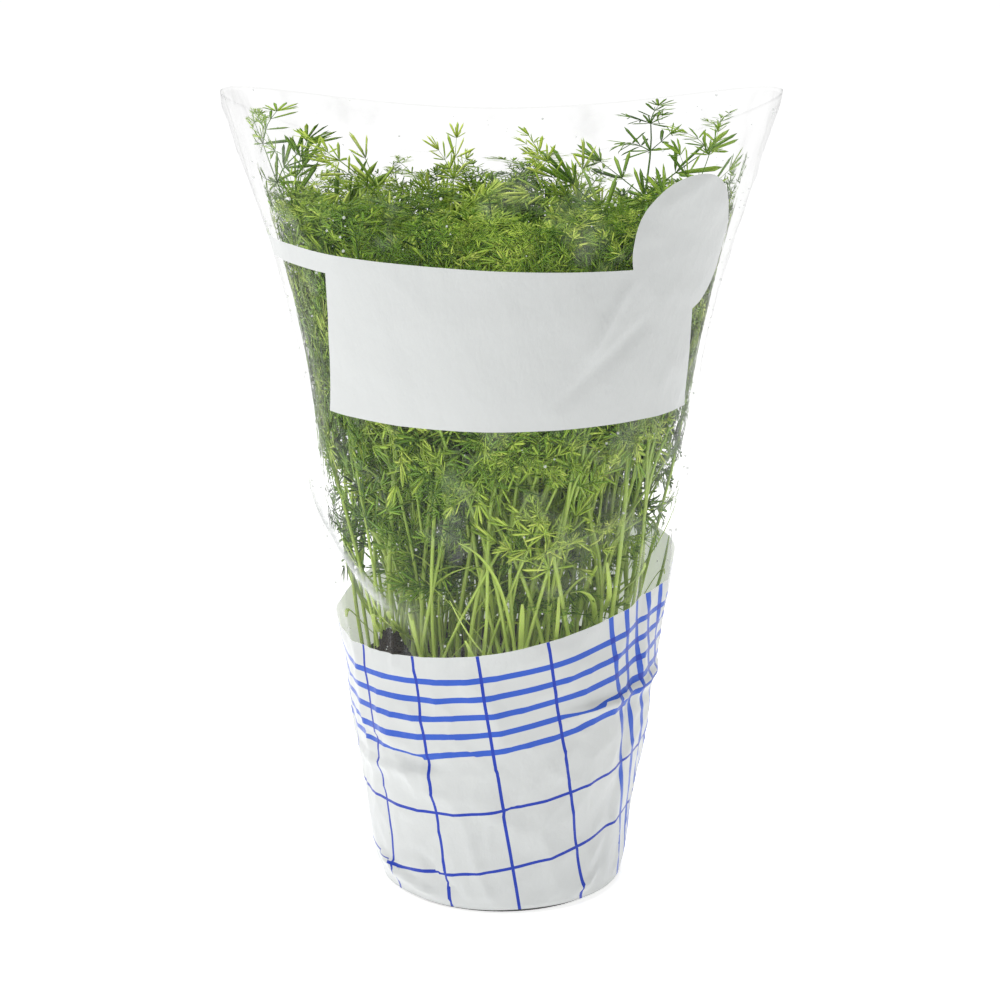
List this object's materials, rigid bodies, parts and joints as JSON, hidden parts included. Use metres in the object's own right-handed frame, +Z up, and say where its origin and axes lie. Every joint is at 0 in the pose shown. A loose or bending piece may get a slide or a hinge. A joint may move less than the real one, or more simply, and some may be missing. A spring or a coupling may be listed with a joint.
{
  "type": "potted dill in film sleeve",
  "caption": "Young dill growing in a round nursery pot of peat, inside an upright tapered clear film sleeve with a white and blue checked print at its foot and a blank white label.",
  "frame": {"origin": "middle of the pot's foot, on the surface it stands on", "axes": "+Z up; the front of the sleeve, with its label, faces -Y; its side welds are at -X and +X"},
  "size_m": [0.2074, 0.168, 0.31],
  "materials": {
    "pot": "matt black polypropylene",
    "peat": "moist dark peat",
    "film": "clear glossy film, printed white and blue",
    "stem": "smooth fresh green stem",
    "leaf": "fine matt green foliage"
  },
  "bodies": {
    "root": {"pot": "pot", "peat": "peat", "sleeve": "film", "stem_01": "stem", "stem_02": "stem", "stem_03": "stem", "stem_04": "stem", "stem_05": "stem", "stem_06": "stem", "stem_07": "stem", "stem_08": "stem", "stem_09": "stem", "stem_10": "stem", "stem_11": "stem", "stem_12": "stem", "stem_13": "stem", "stem_14": "stem", "stem_15": "stem", "stem_16": "stem", "stem_17": "stem", "stem_18": "stem", "stem_19": "stem", "stem_20": "stem", "stem_21": "stem", "stem_22": "stem", "stem_23": "stem", "stem_24": "stem", "frond_01": "leaf", "frond_02": "leaf", "frond_03": "leaf", "frond_04": "leaf", "frond_05": "leaf", "frond_06": "leaf", "frond_07": "leaf", "frond_08": "leaf", "frond_09": "leaf", "frond_10": "leaf", "frond_11": "leaf", "frond_12": "leaf", "frond_13": "leaf", "frond_14": "leaf", "frond_15": "leaf", "frond_16": "leaf", "frond_17": "leaf", "frond_18": "leaf", "frond_19": "leaf", "frond_20": "leaf", "frond_21": "leaf", "frond_22": "leaf", "frond_23": "leaf", "frond_24": "leaf", "side_frond_01": "leaf", "side_frond_02": "leaf", "side_frond_03": "leaf", "side_frond_04": "leaf", "side_frond_05": "leaf", "side_frond_06": "leaf", "side_frond_07": "leaf", "side_frond_08": "leaf", "side_frond_09": "leaf"}
  },
  "joints": []
}
